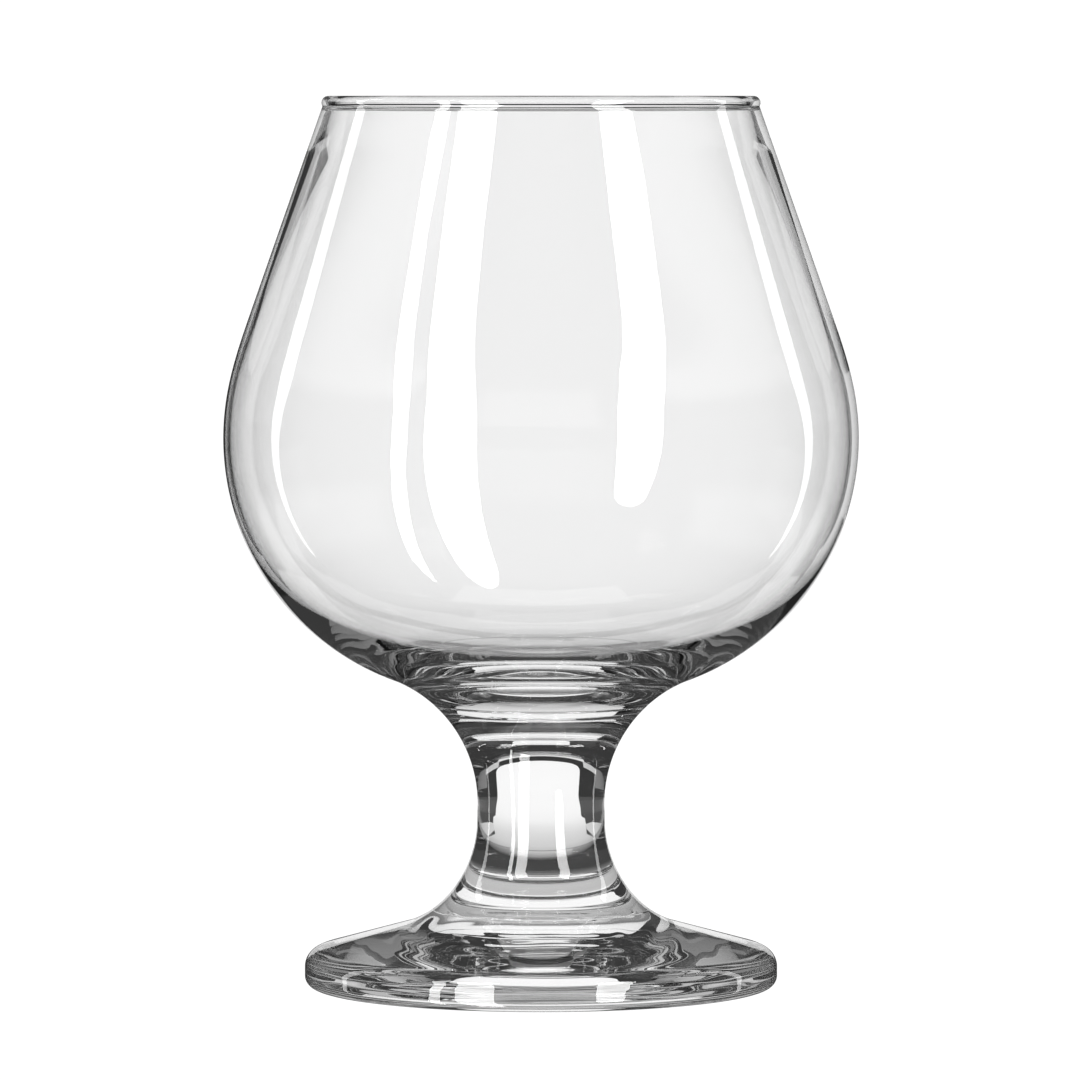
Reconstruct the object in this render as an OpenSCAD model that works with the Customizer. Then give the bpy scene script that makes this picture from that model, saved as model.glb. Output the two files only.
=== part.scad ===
// Footed brandy snifter of clear glass: a blown bowl on a pressed stem and foot.
// The origin is the centre of the foot's underside, and +Z runs up the stem.

/* [Foot] */
// Widest diameter of the foot
foot_d = 65.8; // [60:0.2:72]
// Radius of the rounding under the foot's edge
foot_bottom_round = 1.5; // [1:0.1:2]
// Upright band of the edge, between its two roundings
foot_edge_h = 1.3; // [0.6:0.1:2.5]
// Radius of the rounding over the foot's edge
foot_top_round = 2.6; // [2:0.1:3.5]
// Slope of the foot's upper face, in degrees
foot_slope = 15.5; // [13:0.1:18]
// Width of the flat ring that the foot rests on
rest_ring_w = 3.4; // [2.4:0.1:5]
// Rise of the hollow under the foot, at its centre
hollow_h = 1.2; // [0.6:0.1:2]
// Diameter of the fused joint between foot and stem
foot_joint_d = 30; // [26:0.5:33]

/* [Stem] */
// Diameter of the stem at its waist
waist_d = 17.7; // [15:0.1:20]
// Straight length of the waist
waist_h = 2.0; // [1:0.1:5]
// Radius of the sweep that leads from the waist down towards the foot
low_sweep_r = 16.6; // [15:0.1:18]
// Radius of the tighter toe that ends this sweep on the foot
toe_r = 13.6; // [12:0.1:15]
// Turn of the toe, in degrees
toe_turn = 35; // [30:1:45]
// Radius of the sweep from the waist up to the bowl
high_sweep_r = 18.6; // [17:0.1:21]

/* [Bowl] */
// Outside diameter of the belly
belly_d = 88.2; // [82:0.2:94]
// Radius of the bowl's outside below the belly
under_belly_r = 35.8; // [34:0.1:38]
// Radius of the bowl's outside above the belly
over_belly_r = 36.2; // [33:0.1:40]
// Height of the rim above the belly's widest line
belly_to_rim_h = 47.4; // [44:0.1:52]
// Diameter of the fused joint between bowl and stem
bowl_joint_d = 30; // [26:0.5:34]

/* [Rim] */
// Outside diameter of the rim's bead
rim_d = 60.8; // [57:0.1:64]
// Radius of the rim's rounded bead
bead_r = 0.95; // [0.85:0.05:1.1]
// How far the bead stands out from the wall
bead_proud = 0.3; // [0.1:0.05:0.4]

/* [Wall] */
// Wall thickness just under the bead
rim_wall = 1.35; // [1.1:0.05:1.5]
// Wall thickness at the shoulder, where the wall is thickest
shoulder_wall = 1.85; // [1.5:0.05:2.2]
// Depth of the shoulder below the rim
shoulder_depth = 7; // [5:0.5:10]
// Wall thickness at the belly
belly_wall = 1.05; // [0.8:0.05:1.2]
// Depth below the rim where the wall has thinned to the belly's thickness
taper_depth = 38; // [30:1:44]
// Wall thickness low in the bowl, where its floor begins
low_wall = 2.4; // [1.8:0.1:3]
// Turn below the belly's widest line at which the floor begins, in degrees
floor_turn = 60; // [54:1:64]

/* [Hidden] */
$fn = 96;

// Straight steps that each arc of an outline is drawn with
arc_steps = 16;

foot_r = foot_d / 2;
waist_r = waist_d / 2;
belly_r = belly_d / 2;
rim_r = rim_d / 2;

// The foot's upper face runs straight from the rounded edge to where it touches the toe.
slope_angle = 90 - foot_slope;
slope_normal = [cos(slope_angle), sin(slope_angle)];
foot_top_centre = [foot_r - foot_top_round, foot_bottom_round + foot_edge_h];
foot_top_end = foot_top_centre + foot_top_round * slope_normal;

// The toe and the low sweep share a normal where they meet, which places both on that face.
toe_angle = 180 + slope_angle;
toe_start = toe_angle - toe_turn;
toe_shift = (low_sweep_r - toe_r) * [cos(toe_start), sin(toe_start)];
toe_x = waist_r + low_sweep_r + toe_shift[0];
toe_centre = [toe_x, foot_top_end[1]
    + (toe_r - (toe_x - foot_top_end[0]) * slope_normal[0]) / slope_normal[1]];
low_sweep_centre = toe_centre - toe_shift;

// The high sweep touches the round underside of the bowl, which sets the belly's height.
high_sweep_centre = [waist_r + high_sweep_r, low_sweep_centre[1] + waist_h];
under_belly_x = belly_r - under_belly_r;
belly_z = high_sweep_centre[1]
    + sqrt(pow(high_sweep_r + under_belly_r, 2) - pow(high_sweep_centre[0] - under_belly_x, 2));
under_belly_centre = [under_belly_x, belly_z];
over_belly_centre = [belly_r - over_belly_r, belly_z];
sweep_angle = atan2(high_sweep_centre[1] - belly_z, high_sweep_centre[0] - under_belly_x);
rim_z = belly_z + belly_to_rim_h;

// The upper wall is a straight cone, touching the belly and passing just inside the bead.
bead_centre = [rim_r - bead_r, rim_z - bead_r];
cone_top = [rim_r - bead_proud, bead_centre[1]];
cone_run = cone_top - over_belly_centre;
cone_angle = atan2(cone_run[1], cone_run[0]) - acos(over_belly_r / norm(cone_run));
cone_normal = [cos(cone_angle), sin(cone_angle)];
cone_foot = over_belly_centre + over_belly_r * cone_normal;
bead_inset = (bead_r - bead_proud) * cone_normal[0];
bead_start = cone_angle - acos(bead_inset / bead_r);
bead_end = cone_angle + 180 + acos((rim_wall - bead_inset) / bead_r);
cone_end = bead_centre + bead_r * [cos(bead_start), sin(bead_start)];

// The wall thickens faster and faster below the belly, which leans the inside's normal over.
// The floor is one arc with its centre on the axis, and takes over with that normal.
thickening = 3;
floor_lean = atan((low_wall - belly_wall) * thickening / (floor_turn * PI / 180)
    / (under_belly_r - low_wall));
floor_angle = -floor_turn - floor_lean;
floor_edge = under_belly_centre + (under_belly_r - low_wall) * [cos(floor_turn), -sin(floor_turn)];
floor_r = floor_edge[0] / cos(floor_angle);
floor_centre = [0, floor_edge[1] - floor_r * sin(floor_angle)];

// Where the fused joints cut the toe and the high sweep
foot_joint_angle = acos((toe_centre[0] - foot_joint_d / 2) / toe_r);
foot_joint_z = toe_centre[1] - toe_r * sin(foot_joint_angle);
bowl_joint_angle = acos((high_sweep_centre[0] - bowl_joint_d / 2) / high_sweep_r);
bowl_joint_z = high_sweep_centre[1] + high_sweep_r * sin(bowl_joint_angle);

// Points of an arc, from one angle to another.
function arc(centre, r, from, to) =
    [for (i = [0:arc_steps]) let (a = from + (to - from) * i / arc_steps) centre + r * [cos(a), sin(a)]];

// A step from 0 to 1 that starts and ends level.
function ease(share) = let (s = max(0, min(1, share))) s * s * (3 - 2 * s);

// Wall thickness at a depth below the rim: thicker at the shoulder, thinning towards the belly.
function wall_at(depth) = depth < shoulder_depth
    ? rim_wall + (shoulder_wall - rim_wall) * ease(depth / shoulder_depth)
    : shoulder_wall + (belly_wall - shoulder_wall)
        * min(1, (depth - shoulder_depth) / (taper_depth - shoulder_depth));

// A point of the outside moved in by the wall's thickness, along the outside's normal.
function inside_of(point, normal) = point - wall_at(rim_z - point[1]) * normal;

// Inside of the cone, from the bead down to the belly.
function inside_cone() =
    [for (i = [1:arc_steps]) inside_of(cone_end + (cone_foot - cone_end) * i / arc_steps, cone_normal)];

// Inside of the belly's upper half, down to its widest line.
function inside_over_belly() =
    [for (i = [1:arc_steps])
        let (a = cone_angle * (1 - i / arc_steps), n = [cos(a), sin(a)])
        inside_of(over_belly_centre + over_belly_r * n, n)];

// Inside of the belly's lower half, where the wall thickens towards the floor.
function inside_under_belly() =
    [for (i = [1:arc_steps])
        let (share = i / arc_steps, a = -floor_turn * share,
            wall = belly_wall + (low_wall - belly_wall) * pow(share, thickening))
        under_belly_centre + (under_belly_r - wall) * [cos(a), sin(a)]];

module turned(outline) {
    rotate_extrude() polygon(outline);
}

// Blown bowl: outside from the joint up, over the bead, and down the inside to the floor.
module bowl() {
    color("lightcyan", 0.4) turned(concat(
        [[0, bowl_joint_z]],
        arc(high_sweep_centre, high_sweep_r, 180 - bowl_joint_angle, 180 + sweep_angle),
        arc(under_belly_centre, under_belly_r, sweep_angle, 0),
        arc(over_belly_centre, over_belly_r, 0, cone_angle),
        arc(bead_centre, bead_r, bead_start, bead_end),
        inside_cone(),
        inside_over_belly(),
        inside_under_belly(),
        arc(floor_centre, floor_r, floor_angle, -90)
    ));
}

// Solid stem, waisted between its two sweeps.
module stem() {
    color("lightcyan", 0.5) turned(concat(
        [[0, foot_joint_z]],
        arc(toe_centre, toe_r, 180 + foot_joint_angle, toe_start),
        arc(low_sweep_centre, low_sweep_r, toe_start, 180),
        arc(high_sweep_centre, high_sweep_r, 180, 180 - bowl_joint_angle),
        [[0, bowl_joint_z]]
    ));
}

// Pressed foot: a shallow hollow underneath, a flat ring to rest on, and a sloping top.
module foot() {
    ring_inner_r = foot_r - foot_bottom_round - rest_ring_w;
    hollow_r = (pow(ring_inner_r, 2) + pow(hollow_h, 2)) / (2 * hollow_h);
    color("lightcyan", 0.5) turned(concat(
        arc([0, hollow_h - hollow_r], hollow_r, 90, acos(ring_inner_r / hollow_r)),
        arc([foot_r - foot_bottom_round, foot_bottom_round], foot_bottom_round, -90, 0),
        arc(foot_top_centre, foot_top_round, 0, slope_angle),
        arc(toe_centre, toe_r, toe_angle, 180 + foot_joint_angle),
        [[0, foot_joint_z]]
    ));
}

bowl();
stem();
foot();
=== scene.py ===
import bpy
import math
import numpy as np
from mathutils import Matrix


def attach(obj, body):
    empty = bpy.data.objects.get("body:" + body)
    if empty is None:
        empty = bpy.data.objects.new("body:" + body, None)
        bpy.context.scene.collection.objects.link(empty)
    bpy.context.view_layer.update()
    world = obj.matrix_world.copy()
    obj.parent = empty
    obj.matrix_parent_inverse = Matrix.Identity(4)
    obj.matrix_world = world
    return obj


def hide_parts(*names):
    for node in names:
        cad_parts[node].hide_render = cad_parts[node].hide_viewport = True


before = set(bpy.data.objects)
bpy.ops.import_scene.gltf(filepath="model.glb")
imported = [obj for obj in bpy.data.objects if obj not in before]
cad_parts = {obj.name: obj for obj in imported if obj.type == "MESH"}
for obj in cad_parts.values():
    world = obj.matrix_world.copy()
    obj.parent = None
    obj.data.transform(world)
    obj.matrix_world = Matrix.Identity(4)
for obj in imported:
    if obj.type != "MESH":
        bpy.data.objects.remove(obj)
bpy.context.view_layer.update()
print("frame loaded:", ", ".join(sorted(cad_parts)))

# The glass's sizes are in millimetres and turn to metres when a mesh is made.
toMetres = 0.001
segments = 288              # steps round the axis


# Small helpers

def hexToLinear(code):
    # sRGB hex to linear: below 0.04045 divide by 12.92, above it the 2.4 power curve
    channels = np.array([int(code[i:i + 2], 16) for i in (1, 3, 5)]) / 255
    linear = np.where(channels <= 0.04045, channels / 12.92, ((channels + 0.055) / 1.055) ** 2.4)
    return (*linear.tolist(), 1.0)


def addNode(tree, kind, settings=None, inputs=None, links=None):
    # one node with its settings, its input values and its incoming links
    node = tree.nodes.new(kind)
    for name, value in (settings or {}).items():
        setattr(node, name, value)
    for name, value in (inputs or {}).items():
        node.inputs[name].default_value = value
    for name, source in (links or {}).items():
        tree.links.new(source, node.inputs[name])
    return node


def emptyMaterial(name):
    # a material whose node tree is empty
    material = bpy.data.materials.new(name)
    material.use_nodes = True
    material.node_tree.nodes.clear()
    return material


def arcPoints(centre, radius, start, end, steps):
    # centre plus radius times (cos, sin) of evenly spaced angles, in degrees
    angle = np.radians(np.linspace(start, end, steps))
    return np.stack([centre[0] + radius * np.cos(angle), centre[1] + radius * np.sin(angle)], axis=1)


def linePoints(first, last, steps):
    # first plus a share of the way to last, with the share evenly spaced
    share = np.linspace(0, 1, steps)[:, None]
    return np.asarray(first) + (np.asarray(last) - np.asarray(first)) * share


def joinPoints(*runs):
    # runs one after the other, without a point that repeats the one before it
    points = np.vstack(runs)
    step = np.hypot(*np.diff(points, axis=0).T)
    return points[np.r_[True, step > 1e-5]]


# The glass's outline, as the solids have it

footSize = {
    "diameter": 65.8,
    "bottomRound": 1.5,
    "edgeHeight": 1.3,
    "topRound": 2.6,
    "slope": 15.5,          # degrees
    "restRing": 3.4,
    "hollow": 1.2,
    "jointDiameter": 30.0,
}
stemSize = {
    "waist": 17.7,
    "waistHeight": 2.0,
    "lowSweep": 16.6,
    "toe": 13.6,
    "toeTurn": 35.0,        # degrees
    "highSweep": 18.6,
}
bowlSize = {
    "belly": 88.2,
    "underBelly": 35.8,
    "overBelly": 36.2,
    "bellyToRim": 47.4,
    "jointDiameter": 30.0,
    "rim": 60.8,
    "bead": 0.95,
    "beadProud": 0.3,
    "rimWall": 1.35,
    "shoulderWall": 1.85,
    "shoulderDepth": 7.0,
    "bellyWall": 1.05,
    "taperDepth": 38.0,
    "lowWall": 2.4,
    "floorTurn": 60.0,      # degrees
    "sideEase": 6.0,        # half the length over which the belly's curve runs out into the straight side
    "sideSteps": 76,        # points up the side
}


def lowerProfile():
    # toe, low sweep and high sweep: arcs that touch each other, the toe resting on the foot's sloping face
    footR, waistR = footSize["diameter"] / 2, stemSize["waist"] / 2
    slopeAngle = 90 - footSize["slope"]
    normal = np.array([math.cos(math.radians(slopeAngle)), math.sin(math.radians(slopeAngle))])
    topCentre = np.array([footR - footSize["topRound"], footSize["bottomRound"] + footSize["edgeHeight"]])
    slopeEnd = topCentre + footSize["topRound"] * normal
    toeAngle = 180 + slopeAngle
    toeStart = toeAngle - stemSize["toeTurn"]
    turn = math.radians(toeStart)
    shift = (stemSize["lowSweep"] - stemSize["toe"]) * np.array([math.cos(turn), math.sin(turn)])
    toeX = waistR + stemSize["lowSweep"] + shift[0]
    toeZ = slopeEnd[1] + (stemSize["toe"] - (toeX - slopeEnd[0]) * normal[0]) / normal[1]
    toeCentre = np.array([toeX, toeZ])
    lowCentre = toeCentre - shift
    highCentre = np.array([waistR + stemSize["highSweep"], lowCentre[1] + stemSize["waistHeight"]])
    footJoint = math.degrees(math.acos((toeX - footSize["jointDiameter"] / 2) / stemSize["toe"]))
    jointIn = highCentre[0] - bowlSize["jointDiameter"] / 2
    bowlJoint = math.degrees(math.acos(jointIn / stemSize["highSweep"]))
    return {
        "slopeAngle": slopeAngle, "topCentre": topCentre, "toeAngle": toeAngle, "toeStart": toeStart,
        "toeCentre": toeCentre, "lowCentre": lowCentre, "highCentre": highCentre,
        "footJoint": footJoint, "footJointZ": toeZ - stemSize["toe"] * math.sin(math.radians(footJoint)),
        "bowlJoint": bowlJoint,
        "bowlJointZ": highCentre[1] + stemSize["highSweep"] * math.sin(math.radians(bowlJoint)),
    }


low = lowerProfile()


def footOutline():
    # hollow, resting ring, rounded edge, sloping top, toe up to the joint, and the flat joint itself
    size = footSize
    footR = size["diameter"] / 2
    ring = footR - size["bottomRound"] - size["restRing"]
    hollowR = (ring ** 2 + size["hollow"] ** 2) / (2 * size["hollow"])
    hollowEnd = math.degrees(math.acos(ring / hollowR))
    surface = joinPoints(
        arcPoints((0, size["hollow"] - hollowR), hollowR, 90, hollowEnd, 70),
        linePoints((ring, 0), (footR - size["bottomRound"], 0), 8),
        arcPoints((footR - size["bottomRound"], size["bottomRound"]), size["bottomRound"], -90, 0, 14),
        linePoints((footR, size["bottomRound"]), (footR, low["topCentre"][1]), 5),
        arcPoints(low["topCentre"], size["topRound"], 0, low["slopeAngle"], 18),
        linePoints(slopeStart(), slopeStop(), 24),
        arcPoints(low["toeCentre"], stemSize["toe"], low["toeAngle"], 180 + low["footJoint"], 24),
    )
    return surface, linePoints((size["jointDiameter"] / 2, low["footJointZ"]), (0, low["footJointZ"]), 3)


def slopeStart():
    # the centre of the edge's rounding plus its radius along the slope's normal
    angle = math.radians(low["slopeAngle"])
    return low["topCentre"] + footSize["topRound"] * np.array([math.cos(angle), math.sin(angle)])


def slopeStop():
    # the toe's centre plus its radius along the slope's normal, pointing down
    angle = math.radians(low["toeAngle"])
    return low["toeCentre"] + stemSize["toe"] * np.array([math.cos(angle), math.sin(angle)])


def stemOutline():
    # flat joint, toe, low sweep, waist, high sweep, flat joint
    jointR = bowlSize["jointDiameter"] / 2
    waistR = stemSize["waist"] / 2
    surface = joinPoints(
        arcPoints(low["toeCentre"], stemSize["toe"], 180 + low["footJoint"], low["toeStart"], 24),
        arcPoints(low["lowCentre"], stemSize["lowSweep"], low["toeStart"], 180, 60),
        linePoints((waistR, low["lowCentre"][1]), (waistR, low["highCentre"][1]), 6),
        arcPoints(low["highCentre"], stemSize["highSweep"], 180, 180 - low["bowlJoint"], 50),
    )
    lowerJoint = linePoints((0, low["footJointZ"]), (footSize["jointDiameter"] / 2, low["footJointZ"]), 3)
    upperJoint = linePoints((jointR, low["bowlJointZ"]), (0, low["bowlJointZ"]), 3)
    return lowerJoint, surface, upperJoint


def bowlOutline():
    # outside arcs from the joint to the bead, then the inside: the outside moved in by the wall's thickness
    size = bowlSize
    bellyR, rimR = size["belly"] / 2, size["rim"] / 2
    under, over, high = size["underBelly"], size["overBelly"], stemSize["highSweep"]
    underX = bellyR - under
    bellyZ = low["highCentre"][1] + math.sqrt((high + under) ** 2 - (low["highCentre"][0] - underX) ** 2)
    underCentre, overCentre = np.array([underX, bellyZ]), np.array([bellyR - over, bellyZ])
    sweep = math.degrees(math.atan2(low["highCentre"][1] - bellyZ, low["highCentre"][0] - underX))
    rimZ = bellyZ + size["bellyToRim"]
    beadCentre = np.array([rimR - size["bead"], rimZ - size["bead"]])
    run = np.array([rimR - size["beadProud"], beadCentre[1]]) - overCentre
    cone = math.degrees(math.atan2(run[1], run[0]) - math.acos(over / np.hypot(*run)))
    coneNormal = np.array([math.cos(math.radians(cone)), math.sin(math.radians(cone))])
    inset = (size["bead"] - size["beadProud"]) * coneNormal[0]
    beadStart = cone - math.degrees(math.acos(inset / size["bead"]))
    beadEnd = cone + 180 + math.degrees(math.acos((size["rimWall"] - inset) / size["bead"]))
    bead = arcPoints(beadCentre, size["bead"], beadStart, beadEnd, 34)
    coneFoot = overCentre + over * coneNormal

    def wallAt(height):
        # eased from the rim's wall to the shoulder's, then a straight taper to the belly's
        depth = rimZ - height
        share = np.clip(depth / size["shoulderDepth"], 0, 1)
        upper = size["rimWall"] + (size["shoulderWall"] - size["rimWall"]) * share ** 2 * (3 - 2 * share)
        taper = np.clip((depth - size["shoulderDepth"]) / (size["taperDepth"] - size["shoulderDepth"]), 0, 1)
        lower = size["shoulderWall"] + (size["bellyWall"] - size["shoulderWall"]) * taper
        return np.where(share < 1, upper, lower)

    # Up the side, at length s from the belly: turn = s / R to begin with, R being the radius there; across
    # the ease h it loses (s - a + h)^2 / (4 h R), a being the arc's length; then it stays. The points are
    # the running sum of (-sin turn, cos turn), and what they miss the bead by is shared out along the side.
    ease, arcLength = size["sideEase"], over * math.radians(cone)
    along = np.linspace(0, arcLength + float(np.hypot(*(bead[0] - coneFoot))), size["sideSteps"])
    eased = along / over - (along - arcLength + ease) ** 2 / (4 * ease * over)
    sideTurn = np.where(np.abs(along - arcLength) < ease, eased, np.minimum(along, arcLength) / over)
    middle = (sideTurn[1:] + sideTurn[:-1]) / 2
    path = np.cumsum(np.stack([-np.sin(middle), np.cos(middle)], axis=1) * along[1], axis=0)
    side = np.array([bellyR, bellyZ]) + np.vstack([[(0, 0)], path])
    side += (bead[0] - side[-1]) * (along / along[-1])[:, None]
    sideNormal = np.stack([np.cos(sideTurn), np.sin(sideTurn)], axis=1)
    sideInside = (side - wallAt(side[:, 1])[:, None] * sideNormal)[-2::-1]
    share = np.linspace(0, 1, 60)[1:]
    turn = -np.radians(size["floorTurn"]) * share
    underWall = size["bellyWall"] + (size["lowWall"] - size["bellyWall"]) * share ** 3
    underInside = underCentre + (under - underWall)[:, None] * np.stack([np.cos(turn), np.sin(turn)], axis=1)
    lean = math.degrees(math.atan((size["lowWall"] - size["bellyWall"]) * 3
                                  / math.radians(size["floorTurn"]) / (under - size["lowWall"])))
    floorAngle = -size["floorTurn"] - lean
    floorR = underInside[-1, 0] / math.cos(math.radians(floorAngle))
    floorCentre = (0, underInside[-1, 1] - floorR * math.sin(math.radians(floorAngle)))
    surface = joinPoints(
        arcPoints(low["highCentre"], high, 180 - low["bowlJoint"], 180 + sweep, 24),
        arcPoints(underCentre, under, sweep, 0, 60),
        side, bead, sideInside, underInside,
        arcPoints(floorCentre, floorR, floorAngle, -90, 40),
    )
    joint = linePoints((0, low["bowlJointZ"]), (size["jointDiameter"] / 2, low["bowlJointZ"]), 3)
    return joint, surface


# Turning an outline into a closed mesh

def turnedMesh(name, runs, materials, uneven=None):
    # every outline point (r, z) goes round the axis: x = r cos a, y = r sin a, z;
    # the first and last points lie on the axis and become one point each, with a fan of triangles
    outline = joinPoints(*[run for run, slotIndex in runs])
    slotOfRow = []
    for run, slotIndex in runs:
        slotOfRow += [slotIndex] * (len(run) - (1 if slotOfRow else 0))
    body = outline[1:-1]
    rows = len(body)
    angle = np.arange(segments) * 2 * np.pi / segments
    radius = np.repeat(body[:, :1], segments, axis=1)
    height = np.repeat(body[:, 1:], segments, axis=1)
    around = np.repeat(angle[None, :], rows, axis=0)
    grid = np.stack([radius * np.cos(around), radius * np.sin(around), height], axis=-1)
    if uneven is not None:
        grid = uneven(grid, body)
    points = np.vstack([grid.reshape(-1, 3), [[0, 0, outline[0, 1]]], [[0, 0, outline[-1, 1]]]]) * toMetres
    row = np.arange(rows - 1)[:, None] * segments
    here = np.arange(segments)[None, :]
    after = (here + 1) % segments
    quads = np.stack([row + here, row + after, row + segments + after, row + segments + here], axis=-1)
    bottom, top = len(points) - 2, len(points) - 1
    ring = np.arange(segments)
    nextRing = (ring + 1) % segments
    last = (rows - 1) * segments
    bottomFan = np.stack([np.full(segments, bottom), nextRing, ring], axis=-1)
    topFan = np.stack([np.full(segments, top), last + ring, last + nextRing], axis=-1)
    faces = quads.reshape(-1, 4).tolist() + bottomFan.tolist() + topFan.tolist()
    mesh = bpy.data.meshes.new(name)
    mesh.from_pydata(points.tolist(), [], faces)
    mesh.polygons.foreach_set("use_smooth", np.ones(len(faces), bool))
    for material in materials:
        mesh.materials.append(material)
    rowSlots = np.array(slotOfRow[1:rows + 2])
    faceSlots = np.concatenate([np.repeat(rowSlots[1:rows], segments),
                                np.full(segments, rowSlots[0]), np.full(segments, rowSlots[-1])])
    mesh.polygons.foreach_set("material_index", faceSlots.astype(np.int32))
    mesh.update()
    mesh.validate()
    piece = bpy.data.objects.new(name, mesh)
    bpy.context.scene.collection.objects.link(piece)
    return piece


# Glass

glassLook = {
    "tint": "#FEFEFE",
    "ior": 1.52,
    "cordSpacing": 9.0,     # mm between the faint streaks of uneven glass
    "cordDepth": 0.004,     # mm
    "wipeSpacing": 2.2,     # mm, marks of the cloth it was wiped with
    "wipeRoughness": 0.012,
}


def sodaLimeGlass():
    # Soda-lime glass, blown or pressed and then fire-polished: clear, all but colourless and mirror-smooth,
    # so the eye sees only what it bends and reflects, with faint streaks where the melt was uneven.
    look = glassLook
    material = emptyMaterial("sodaLimeGlassFirePolished")
    tree = material.node_tree
    place = addNode(tree, "ShaderNodeTexCoord")
    stretch = addNode(tree, "ShaderNodeMapping", inputs={"Scale": (1, 1, 0.35)},
                      links={"Vector": place.outputs["Object"]})
    cords = addNode(tree, "ShaderNodeTexNoise", inputs={"Scale": 1000 / look["cordSpacing"], "Detail": 1.5,
                    "Roughness": 0.4}, links={"Vector": stretch.outputs["Vector"]})
    bump = addNode(tree, "ShaderNodeBump", inputs={"Strength": 1.0, "Distance": look["cordDepth"] * toMetres},
                   links={"Height": cords.outputs["Fac"]})
    wipes = addNode(tree, "ShaderNodeTexNoise", inputs={"Scale": 1000 / look["wipeSpacing"], "Detail": 3.0},
                    links={"Vector": place.outputs["Object"]})
    haze = addNode(tree, "ShaderNodeMapRange", inputs={"From Min": 0.45, "From Max": 0.8, "To Min": 0.0,
                   "To Max": look["wipeRoughness"]}, links={"Value": wipes.outputs["Fac"]})
    glass = addNode(tree, "ShaderNodeBsdfPrincipled", inputs={
        "Base Color": hexToLinear(look["tint"]), "IOR": look["ior"], "Transmission Weight": 1.0},
        links={"Normal": bump.outputs["Normal"], "Roughness": haze.outputs["Result"]})
    addNode(tree, "ShaderNodeOutputMaterial", links={"Surface": glass.outputs["BSDF"]})
    return material


def fusedJoint():
    # Glass fused to glass while hot: no air between, so nothing is seen where two pieces meet.
    material = emptyMaterial("fusedGlassJoint")
    tree = material.node_tree
    clear = addNode(tree, "ShaderNodeBsdfTransparent", inputs={"Color": (1, 1, 1, 1)})
    addNode(tree, "ShaderNodeOutputMaterial", links={"Surface": clear.outputs["BSDF"]})
    return material


clearGlass, joint = sodaLimeGlass(), fusedJoint()
print("glass and joint materials made")

unevenWall = {
    "sideShift": 0.22,      # mm that the inside stands off centre at the belly, towards -X
    "waves": 0.03,          # mm, slow waves round and up the inside
    "floorRipple": 0.016,   # mm, rings left in the floor inside
    "floorRings": (6, 10),  # mm, their middle radius and how far they reach either side of it
    "hollowRipple": 0.035,  # mm, rings left in the hollow underneath
    "hollowRings": (14, 12),
    "rippleSpacing": 4.4,   # mm from ring to ring
    "lowest": 42.0,         # mm, the heights between which the inside shifts and waves
    "highest": 123.0,
    "floorBelow": 60.0,     # mm, no rings above this height
    "hollowRows": 66,       # rows of the foot's outline in the hollow, short of the resting ring
    "beadRows": 12,         # rows from the bead's top to where the inside starts to move
    "easeRows": 14,         # rows from there to the full move
}


def ripple(grid, depth, rings):
    # rings that wander: sin(2 pi r / spacing + 1.3 sin(3 a + 0.4) + 0.8 sin(5 a + 2)), faded to nothing
    # at the reach either side of the middle radius by (1 - ((r - middle) / reach)^2)^2
    middle, reach = rings
    radius = np.hypot(grid[:, :, 0], grid[:, :, 1])
    angle = np.arctan2(grid[:, :, 1], grid[:, :, 0])
    fade = np.clip(1 - ((radius - middle) / reach) ** 2, 0, 1) ** 2
    wander = 1.3 * np.sin(3 * angle + 0.4) + 0.8 * np.sin(5 * angle + 2)
    return depth * fade * np.sin(2 * np.pi * radius / unevenWall["rippleSpacing"] + wander)


def unevenHollow(grid, body):
    # the hollow under the foot, which is the first part of the outline, moves up and down with the ripple
    moved = grid.copy()
    hollow = np.arange(len(body)) < unevenWall["hollowRows"]
    moved[:, :, 2] += hollow[:, None] * ripple(grid, unevenWall["hollowRipple"], unevenWall["hollowRings"])
    return moved


def unevenInside(grid, body):
    # the inside moves towards -X by a shift that fades to nothing at the rim and at the floor, in and out
    # by sin(2a + 0.7 + z/21) + 0.6 sin(3a + 2.1 - z/13) + 0.4 sin(5a + 0.3 + z/9), and its floor ripples
    bumps = unevenWall
    insideStart = int(np.argmax(body[:, 1])) + bumps["beadRows"]
    rowIndex = np.arange(len(body))[:, None]
    inside = np.clip((rowIndex - insideStart) / bumps["easeRows"], 0, 1)
    share = (body[:, 1:] - bumps["lowest"]) / (bumps["highest"] - bumps["lowest"])
    fade = inside * np.clip(np.sin(np.pi * np.clip(share, 0, 1)), 0, 1)
    angle = np.arctan2(grid[:, :, 1], grid[:, :, 0])
    z = grid[:, :, 2]
    wave = (np.sin(2 * angle + 0.7 + z / 21) + 0.6 * np.sin(3 * angle + 2.1 - z / 13)
            + 0.4 * np.sin(5 * angle + 0.3 + z / 9))
    rings = ripple(grid, bumps["floorRipple"], bumps["floorRings"])
    moved = grid.copy()
    moved[:, :, 0] += fade * (-bumps["sideShift"] + bumps["waves"] * wave * np.cos(angle))
    moved[:, :, 1] += fade * bumps["waves"] * wave * np.sin(angle)
    moved[:, :, 2] += inside * (z < bumps["floorBelow"]) * rings
    return moved


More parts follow.
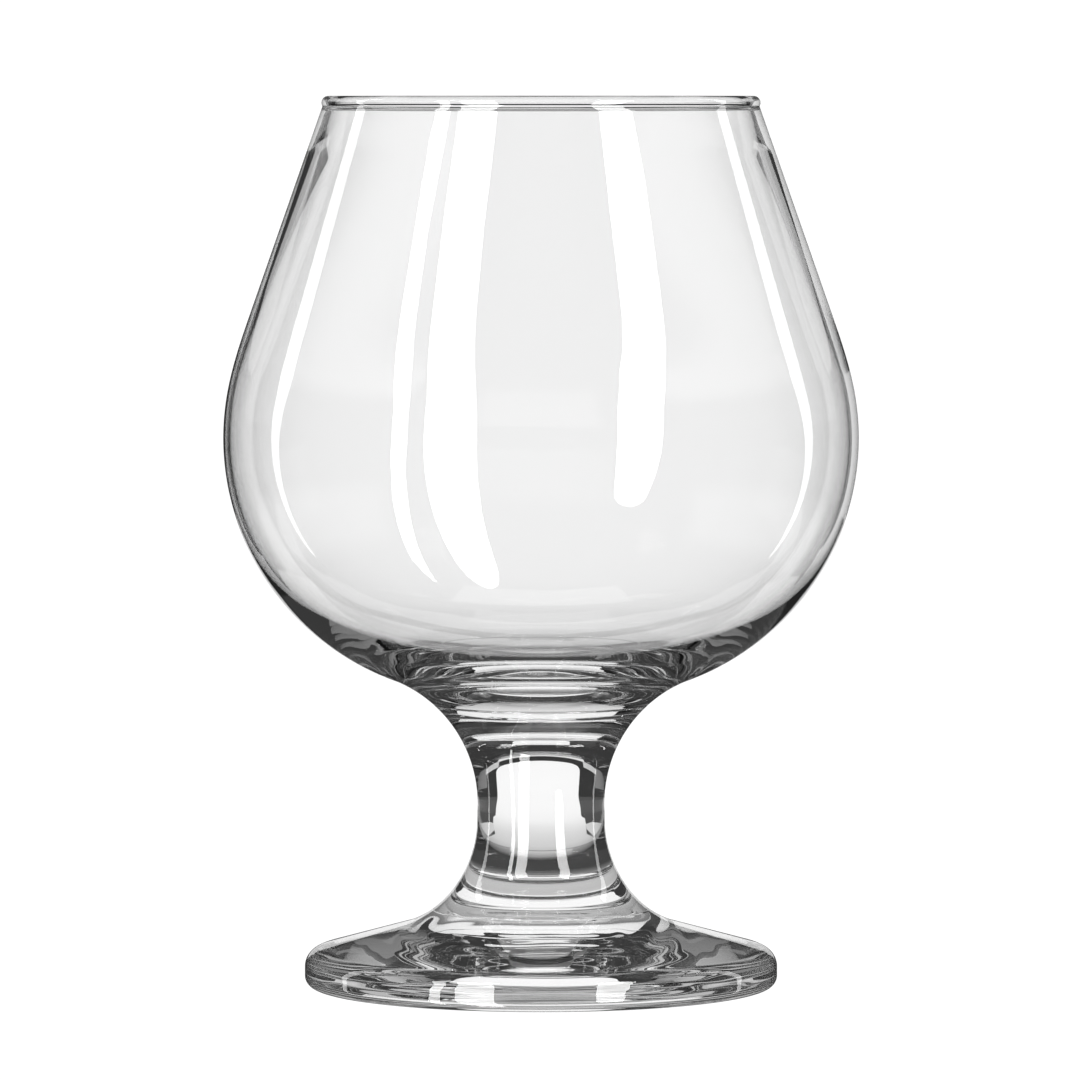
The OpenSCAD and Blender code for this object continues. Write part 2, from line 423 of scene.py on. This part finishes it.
jointRun, bowlRun = bowlOutline()
bowl = turnedMesh("bowlGlass", [(jointRun, 1), (bowlRun, 0)], [clearGlass, joint], unevenInside)
lowerJoint, stemRun, upperJoint = stemOutline()
stem = turnedMesh("stemGlass", [(lowerJoint, 1), (stemRun, 0), (upperJoint, 1)], [clearGlass, joint])
footRun, footJointRun = footOutline()
foot = turnedMesh("footGlass", [(footRun, 0), (footJointRun, 1)], [clearGlass, joint], unevenHollow)
for piece, node in ((bowl, "bowl"), (stem, "stem"), (foot, "foot")):
    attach(piece, "root")
    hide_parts(node)
print("bowl, stem and foot turned")


# Studio: sizes in metres, angles in degrees from +Y, strengths where 1 shows as white

room = {
    "white": 1.07,          # what the camera sees round the glass
    "dark": 0.04,           # what the glass finds there
}


def glow(name, strength, paintedShadeAlongY=None):
    # a diffuser lit from behind: even all over, or with painted shade, shares at places along Y and straight
    # lines between
    material = emptyMaterial(name)
    tree = material.node_tree
    light = addNode(tree, "ShaderNodeEmission",
                    inputs={"Color": hexToLinear("#FFFFFF"), "Strength": strength})
    if paintedShadeAlongY is not None:
        place = addNode(tree, "ShaderNodeTexCoord")
        axes = addNode(tree, "ShaderNodeSeparateXYZ", links={"Vector": place.outputs["Object"]})
        first, last = paintedShadeAlongY[0][0], paintedShadeAlongY[-1][0]
        along = addNode(tree, "ShaderNodeMapRange", inputs={"From Min": first, "From Max": last},
                        links={"Value": axes.outputs["Y"]})
        ramp = addNode(tree, "ShaderNodeValToRGB", links={"Fac": along.outputs["Result"]})
        stops = ramp.color_ramp.elements
        while len(stops) < len(paintedShadeAlongY):
            stops.new(0.5)
        for stop, (position, value) in zip(stops, paintedShadeAlongY):
            stop.position = (position - first) / (last - first)
            stop.color = (value, value, value, 1)
        tree.links.new(ramp.outputs["Color"], light.inputs["Color"])
    addNode(tree, "ShaderNodeOutputMaterial", links={"Surface": light.outputs["Emission"]})
    return material


def gridMesh(name, points, material):
    # a grid of rows by columns of points, joined by quads
    rows, columns = points.shape[:2]
    index = np.arange(rows - 1)[:, None] * columns + np.arange(columns - 1)[None, :]
    faces = np.stack([index, index + 1, index + columns + 1, index + columns], axis=-1).reshape(-1, 4)
    mesh = bpy.data.meshes.new(name)
    mesh.from_pydata(points.reshape(-1, 3).tolist(), [], faces.tolist())
    mesh.materials.append(material)
    mesh.update()
    sheet = bpy.data.objects.new(name, mesh)
    bpy.context.scene.collection.objects.link(sheet)
    return sheet


def litCard(name, points, strength, bent=True, mirrored=True, paintedShadeAlongY=None):
    # a lit card that the camera never sees, but the glass does: in the light that it bends, in the light
    # that its surface mirrors, or in both
    card = gridMesh(name, points, glow(name + "Light", strength, paintedShadeAlongY))
    card.visible_camera = False
    card.visible_transmission = bent
    card.visible_glossy = mirrored
    return card


def flatSheet(xs, ys, height):
    # a level rectangle between two x and two y
    x, y = np.meshgrid(xs, ys)
    return np.stack([x, y, np.full_like(x, height, dtype=float)], axis=-1)


def standingSheet(xs, distance, zs):
    # an upright rectangle across the view, at one distance behind the glass
    x, z = np.meshgrid(xs, zs)
    return np.stack([x, np.full_like(x, distance, dtype=float), z], axis=-1)


def curvedStrip(edges, distance, roundEnd=0.0):
    # an upright strip on a circle about the axis: x = d sin a, y = d cos a, a from one edge to the other;
    # edges has rows of (height, left edge, right edge) from the lowest up, and straight lines join them;
    # the lower end is round: it rises by roundEnd * (1 - sqrt(1 - u^2)), u from -1 to 1 across
    levels = np.array(edges)
    height = np.linspace(levels[0, 0], levels[-1, 0], 49)
    left = np.interp(height, levels[:, 0], levels[:, 1])
    right = np.interp(height, levels[:, 0], levels[:, 2])
    across = np.linspace(0, 1, 25)[None, :]
    azimuth = np.radians(left[:, None] + (right - left)[:, None] * across)
    lift = roundEnd * (1 - np.sqrt(1 - (2 * across - 1) ** 2 * 0.9999))
    raised = height[:, None] + lift * (height[-1] - height[:, None]) / (height[-1] - height[0])
    return np.stack([distance * np.sin(azimuth), distance * np.cos(azimuth), raised], axis=-1)


paper = {
    "strength": 1.04,
    # painted contact shadow: the paper is dimmed almost to black near the glass's foot and brightens away
    # from it
    "fade": [(-0.03, 0.06), (0.015, 0.06), (0.03, 0.48), (0.05, 0.66), (0.11, 0.8), (0.24, 1.0)],
    "nearEdge": -0.03,
    "bendStart": 0.2,
    "bend": 0.04,
    "distance": 0.24,
    "top": 0.142,
    "corner": 0.03,
    "sideStep": 0.016,      # how far it lies off centre at the back, towards +X,
    "stepStart": 0.06,      # and from where it starts to
    "lift": -0.0004,        # a little over the floor
    "halfWidths": [(0.015, 0.016), (0.03, 0.03), (0.06, 0.036), (0.13, 0.088), (0.18, 0.121), (0.24, 0.127)],
    "upper": 0.9,           # strength of the part above it
    "low": 0.85,            # strength of what the foot's slope mirrors of it
}


def paperSweep():
    # paper that lies on the table behind the glass and turns up: a path (y, z), a quarter circle between two
    # straight stretches, with a half width at each point and the upper corners rounded like quarter circles
    bendCentre = (paper["bendStart"], paper["lift"] + paper["bend"])
    path = joinPoints(
        linePoints((paper["nearEdge"], paper["lift"]), (paper["bendStart"], paper["lift"]), 24),
        arcPoints(bendCentre, paper["bend"], -90, 0, 13),
        linePoints((paper["distance"], bendCentre[1]), (paper["distance"], paper["top"]), 24),
    )
    places, widths = zip(*paper["halfWidths"])
    half = np.interp(path[:, 0], places, widths)
    over = np.clip(path[:, 1] - (paper["top"] - paper["corner"]), 0, paper["corner"])
    half = half - paper["corner"] + np.sqrt(paper["corner"] ** 2 - over ** 2)
    aside = np.interp(path[:, :1], [paper["stepStart"], paper["distance"]], [0, paper["sideStep"]])
    x = half[:, None] * np.array([-1, 1])[None, :] + aside
    return np.stack([x, path[:, :1] + 0 * x, path[:, 1:] + 0 * x], axis=-1)


# the paper's brightness along Y is a painted contact shadow round the foot
litCard("paperSweep", paperSweep(), paper["strength"], mirrored=False, paintedShadeAlongY=paper["fade"])
litCard("upperPaper", standingSheet((-0.14, 0.14), 0.24, (0.18, 0.25)), paper["upper"], mirrored=False)
litCard("lowPaper", standingSheet((-0.09, 0.09), 0.239, (0.002, 0.042)), paper["low"], bent=False)
litCard("overhead", flatSheet((-0.2, 0.2), (0.12, 0.42), 0.75), 1.1)

sides = {
    "table": 0.7,           # strengths
    "wing": 0.65,
    "glow": 0.25,
    "tableEdges": [(0.04, 0.034, 0.09), (0.08, 0.05, 0.1), (0.12, 0.075, 0.1)],     # y, inner x, outer x
    "wingX": (0.13, 0.25),
    "wingZ": (0.14, 0.185),
    "glowAngles": (45, 76),
    "glowZ": (0.1, 0.33),
}
tableRows = np.array([[(near, y, -0.0005), (far, y, -0.0005)] for y, near, far in sides["tableEdges"]])
for sideName, side in (("Right", 1), ("Left", -1)):
    wing = standingSheet(sorted(side * x for x in sides["wingX"]), paper["distance"], sides["wingZ"])
    azimuths = sorted(side * angle for angle in sides["glowAngles"])
    litCard("table" + sideName, tableRows * (side, 1, 1), sides["table"], mirrored=False)
    litCard("wing" + sideName, wing, sides["wing"], mirrored=False)
    litCard("glow" + sideName, curvedStrip([(z, *azimuths) for z in sides["glowZ"]], 0.62), sides["glow"],
            mirrored=False)

# Strip lights that the bowl mirrors: rows of (height, left edge, right edge) from the lowest up, how round
# the lower end is, and the strength. They stand 0.6 m from the glass.
strips = {
    "broadStrip": ([(-1.1, -139, -158), (-0.02, -139, -158), (0.19, -138, -156.5), (0.37, -134.5, -154),
                    (0.48, -132, -152), (0.56, -136, -156), (0.6, -136, -156)], 0.5, 12.0),
    "narrowStrip": ([(-0.8, -119, -121), (-0.23, -126, -131), (-0.02, -127, -133), (0.18, -126, -132),
                     (0.35, -121.5, -129), (0.45, -118, -125.5), (0.52, -122, -129),
                     (0.6, -122, -129)], 0.3, 12.0),
    "rightStrip": ([(-0.2, 141, 154), (-0.02, 138, 154), (0.19, 136, 153), (0.37, 131, 150),
                    (0.48, 126, 145.5), (0.55, 130, 147), (0.6, 130, 147)], 0.08, 12.0),
    "sideLeft": ([(-0.3, -70, -72), (0.12, -69, -76), (0.23, -66, -73.5), (0.3, -63, -71),
                  (0.36, -64, -73), (0.6, -64, -73)], 0.2, 4.0),
    "sideRight": ([(-0.3, 68, 70), (0.12, 68, 75), (0.23, 66, 73.5), (0.3, 63, 71),
                   (0.36, 64, 72), (0.6, 64, 72)], 0.2, 4.0),
}
for stripName, (edges, roundEnd, strength) in strips.items():
    litCard(stripName, curvedStrip(edges, 0.6, roundEnd), strength, bent=False)

floorLook = {
    "throughGlass": 0.9,    # how pale the floor is painted for light bent through both walls of the glass
    "stemSlope": 0.25,      # the stem alone shows it pale for y < slope * |x| and painted dark behind that, eased over the two values below
    "stemEase": (-0.05, 0.02),
    # Painted pools of light: what mirrored light finds of it is a product of fades, each by the angle from +Y
    # or by the distance, from one place to another and from one share to another. Of the two products the
    # larger counts.
    "tables": [
        [("angle", 48, 53, 0, 1), ("angle", 122, 128, 1, 0),
         ("distance", 0.1, 0.13, 0.04, 0.75), ("distance", 0.22, 0.34, 1, 0.08)],
        [("angle", 153, 159, 0, 1), ("distance", 0.17, 0.21, 0.04, 0.45)],
    ],
}


def paleFloor():
    # A pale floor that glows, its strength painted by ray and place. The camera sees it plain. Seen through
    # glass that bends it but never mirrors it, it is painted almost as pale; through the stem alone it is
    # pale only beside and before it, with painted dark behind. Mirrored light inside the glass finds painted
    # lit tables to the sides and in front, and painted black elsewhere.
    material = emptyMaterial("paleFloor")
    tree = material.node_tree
    place = addNode(tree, "ShaderNodeTexCoord")
    distance = addNode(tree, "ShaderNodeVectorMath", {"operation": "LENGTH"},
                       links={0: place.outputs["Object"]})
    axes = addNode(tree, "ShaderNodeSeparateXYZ", links={"Vector": place.outputs["Object"]})
    aside = addNode(tree, "ShaderNodeMath", {"operation": "ABSOLUTE"}, links={0: axes.outputs["X"]})
    turn = addNode(tree, "ShaderNodeMath", {"operation": "ARCTAN2"},
                   links={0: aside.outputs["Value"], 1: axes.outputs["Y"]})
    angle = addNode(tree, "ShaderNodeMath", {"operation": "MULTIPLY"}, {1: 180 / math.pi},
                    {0: turn.outputs["Value"]})
    measures = {"angle": angle.outputs["Value"], "distance": distance.outputs["Value"]}
    # painted pools of light: the lit tables that mirrored light finds on the floor
    products = []
    for fades in floorLook["tables"]:
        product = None
        for measure, start, stop, first, last in fades:
            fade = addNode(tree, "ShaderNodeMapRange", inputs={
                "From Min": start, "From Max": stop, "To Min": first, "To Max": last},
                links={"Value": measures[measure]}).outputs["Result"]
            if product is None:
                product = fade
            else:
                product = addNode(tree, "ShaderNodeMath", {"operation": "MULTIPLY"},
                                  links={0: product, 1: fade}).outputs["Value"]
        products.append(product)
    mirrored = addNode(tree, "ShaderNodeMath", {"operation": "MAXIMUM"},
                       links={0: products[0], 1: products[1]})
    # painted shade: through the stem alone the floor is dimmed to a tenth behind the glass
    slope = addNode(tree, "ShaderNodeMath", {"operation": "MULTIPLY"}, {1: floorLook["stemSlope"]},
                    {0: aside.outputs["Value"]})
    beside = addNode(tree, "ShaderNodeMath", {"operation": "SUBTRACT"},
                     links={0: slope.outputs["Value"], 1: axes.outputs["Y"]})
    easeStart, easeStop = floorLook["stemEase"]
    paintedStemShade = addNode(tree, "ShaderNodeMapRange", inputs={
        "From Min": easeStart, "From Max": easeStop, "To Min": 0.1}, links={"Value": beside.outputs["Value"]})
    paths = addNode(tree, "ShaderNodeLightPath")
    bothWalls = addNode(tree, "ShaderNodeMath", {"operation": "GREATER_THAN"}, {1: 3.5},
                        {0: paths.outputs["Transmission Depth"]})
    share = addNode(tree, "ShaderNodeMath", {"operation": "MAXIMUM"},
                    links={0: bothWalls.outputs["Value"], 1: paintedStemShade.outputs["Result"]})
    # the floor's paleness through glass is painted, not lit
    bent = addNode(tree, "ShaderNodeMath", {"operation": "MULTIPLY"}, {1: floorLook["throughGlass"]},
                   {0: share.outputs["Value"]})
    neverMirrored = addNode(tree, "ShaderNodeMath", {"operation": "LESS_THAN"}, {1: 0.5},
                            {0: paths.outputs["Glossy Depth"]})
    inGlass = addNode(tree, "ShaderNodeMix", {"data_type": "FLOAT"}, links={
        "Factor": neverMirrored.outputs["Value"], "A": mirrored.outputs["Value"],
        "B": bent.outputs["Value"]})
    level = addNode(tree, "ShaderNodeMix", {"data_type": "FLOAT"}, {"B": room["white"]},
                    {"Factor": paths.outputs["Is Camera Ray"], "A": inGlass.outputs["Result"]})
    light = addNode(tree, "ShaderNodeEmission", inputs={"Color": hexToLinear("#FFFFFF")},
                    links={"Strength": level.outputs["Result"]})
    addNode(tree, "ShaderNodeOutputMaterial", links={"Surface": light.outputs["Emission"]})
    return material


floor = gridMesh("paleFloor", flatSheet((-3, 3), (-3, 3), -0.001), paleFloor())
floor.visible_glossy = False
floor.visible_diffuse = False

world = bpy.data.worlds.new("studioRoom")
bpy.context.scene.world = world
world.use_nodes = True
world.node_tree.nodes.clear()
paths = addNode(world.node_tree, "ShaderNodeLightPath")
level = addNode(world.node_tree, "ShaderNodeMath", {"operation": "MULTIPLY_ADD"},
                {1: room["white"] - room["dark"], 2: room["dark"]}, {0: paths.outputs["Is Camera Ray"]})
sky = addNode(world.node_tree, "ShaderNodeBackground", inputs={"Color": (1, 1, 1, 1)},
              links={"Strength": level.outputs["Value"]})
addNode(world.node_tree, "ShaderNodeOutputWorld", links={"Surface": sky.outputs["Background"]})
print("studio lit")

# Camera

view = {
    "distance": 1.071,      # metres from the glass's axis
    "height": 0.1248,
    "pitchDown": 0.05839,   # radians
    "frameWidth": 1080,     # pixels
    "focalPixels": 7719,
    "axisPixel": 541,       # where the glass's axis stands
    "sensor": 36,           # mm
    "bounces": 64,          # clear glass in clear glass needs many
    "mirrorBounces": 48,
}
cameraData = bpy.data.cameras.new("camera")
cameraData.sensor_width = view["sensor"]
cameraData.lens = view["focalPixels"] / view["frameWidth"] * view["sensor"]
cameraData.shift_x = (view["frameWidth"] / 2 - view["axisPixel"]) / view["frameWidth"]
cameraData.clip_start = 0.01
cameraData.clip_end = 50
camera = bpy.data.objects.new("camera", cameraData)
camera.location = (0, -view["distance"], view["height"])
camera.rotation_euler = (math.pi / 2 - view["pitchDown"], 0, 0)
bpy.context.scene.collection.objects.link(camera)
bpy.context.scene.camera = camera

bpy.context.scene.view_settings.view_transform = "Standard"
cycles = bpy.context.scene.cycles
cycles.max_bounces = view["bounces"]
cycles.transmission_bounces = view["bounces"]
cycles.transparent_max_bounces = view["bounces"]
cycles.glossy_bounces = view["mirrorBounces"]
print("camera placed")
